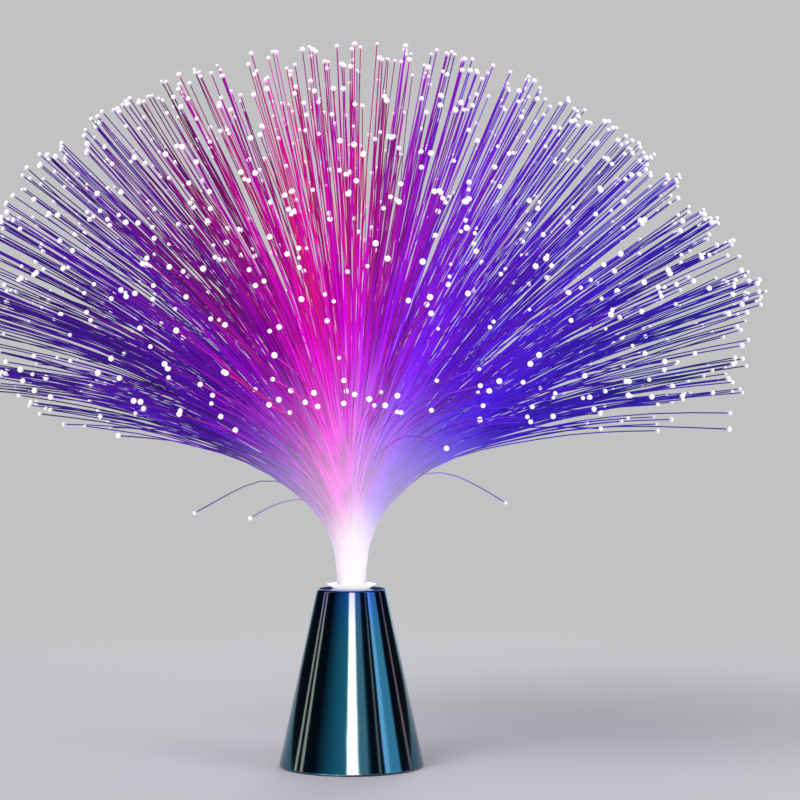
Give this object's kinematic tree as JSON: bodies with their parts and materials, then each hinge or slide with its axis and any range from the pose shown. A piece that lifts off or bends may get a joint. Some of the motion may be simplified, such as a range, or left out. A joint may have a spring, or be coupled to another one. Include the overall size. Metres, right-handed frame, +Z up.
{
  "type": "fiber optic lamp",
  "caption": "Battery table lamp: mirror-plated cone base with a battery door and slide switch underneath, flared collar on top, and a wide spray of light-guiding fibres.",
  "frame": {"origin": "on the table, under the middle of the cone: the centre of the bounding box in plan, at the bottom of the foot pads", "axes": "+Z up along the cone's axis; the front of the lamp faces -Y; the battery door lies along X, with its hinge at -X and its screw at +X"},
  "size_m": [0.4102, 0.4101, 0.358],
  "materials": {
    "teal_plating": "dark teal mirror plating on plastic",
    "black_plastic": "fine moulded grain",
    "foot_rubber": "matte",
    "zinc_steel": "zinc plated",
    "nickel_sheet": "nickel plated",
    "cell_jacket": null,
    "milky_plastic": "translucent, lit from below",
    "clear_fibre": "clear acrylic fibre carrying coloured light, bright at the tips",
    "board_green": "solder mask",
    "red_lens": "tinted clear, lit",
    "green_lens": "tinted clear, lit",
    "blue_lens": "tinted clear, lit",
    "resistor_tan": "lacquered",
    "red_pvc": "soft insulation",
    "black_pvc": "soft insulation"
  },
  "bodies": {
    "base": {"cone_shell": "teal_plating", "bottom_plate": "black_plastic", "plate_screw_1": "zinc_steel", "plate_screw_2": "zinc_steel", "plate_screw_3": "zinc_steel", "foot_pad_1": "foot_rubber", "foot_pad_2": "foot_rubber", "foot_pad_3": "foot_rubber", "foot_pad_4": "foot_rubber", "battery_cell_1": "cell_jacket", "battery_cell_2": "cell_jacket", "battery_cell_3": "cell_jacket", "contact_spring_1": "nickel_sheet", "contact_spring_2": "nickel_sheet", "contact_spring_3": "nickel_sheet", "positive_contact": "nickel_sheet", "negative_contact": "nickel_sheet", "link_contact_front": "nickel_sheet", "link_contact_rear": "nickel_sheet", "switch_body": "zinc_steel", "switch_screw_1": "zinc_steel", "switch_screw_2": "zinc_steel", "led_board": "board_green", "led_red": "red_lens", "led_green": "green_lens", "led_blue": "blue_lens", "resistor_1": "resistor_tan", "resistor_2": "resistor_tan", "resistor_3": "resistor_tan", "board_screw_1": "zinc_steel", "board_screw_2": "zinc_steel", "wire_positive": "red_pvc", "wire_switched": "red_pvc", "wire_negative": "black_pvc"},
    "bundle": {"collar": "milky_plastic", "fibre_spray": "clear_fibre"},
    "door": {"battery_door": "black_plastic", "door_screw": "zinc_steel"},
    "switch": {"switch_knob": "black_plastic"}
  },
  "joints": [
    {"name": "bundle_lift", "type": "slide", "parent": "base", "child": "bundle", "axis": [0, 0, 1], "range_m": [0, 0.03]},
    {"name": "door_swing", "type": "hinge", "parent": "base", "child": "door", "pos_m": [-0.02575, 0, 0.00225], "axis": [0, 1, 0], "range_deg": [0, 75]},
    {"name": "switch_slide", "type": "slide", "parent": "base", "child": "switch", "axis": [1, 0, 0], "range_m": [0, 0.0035]}
  ]
}
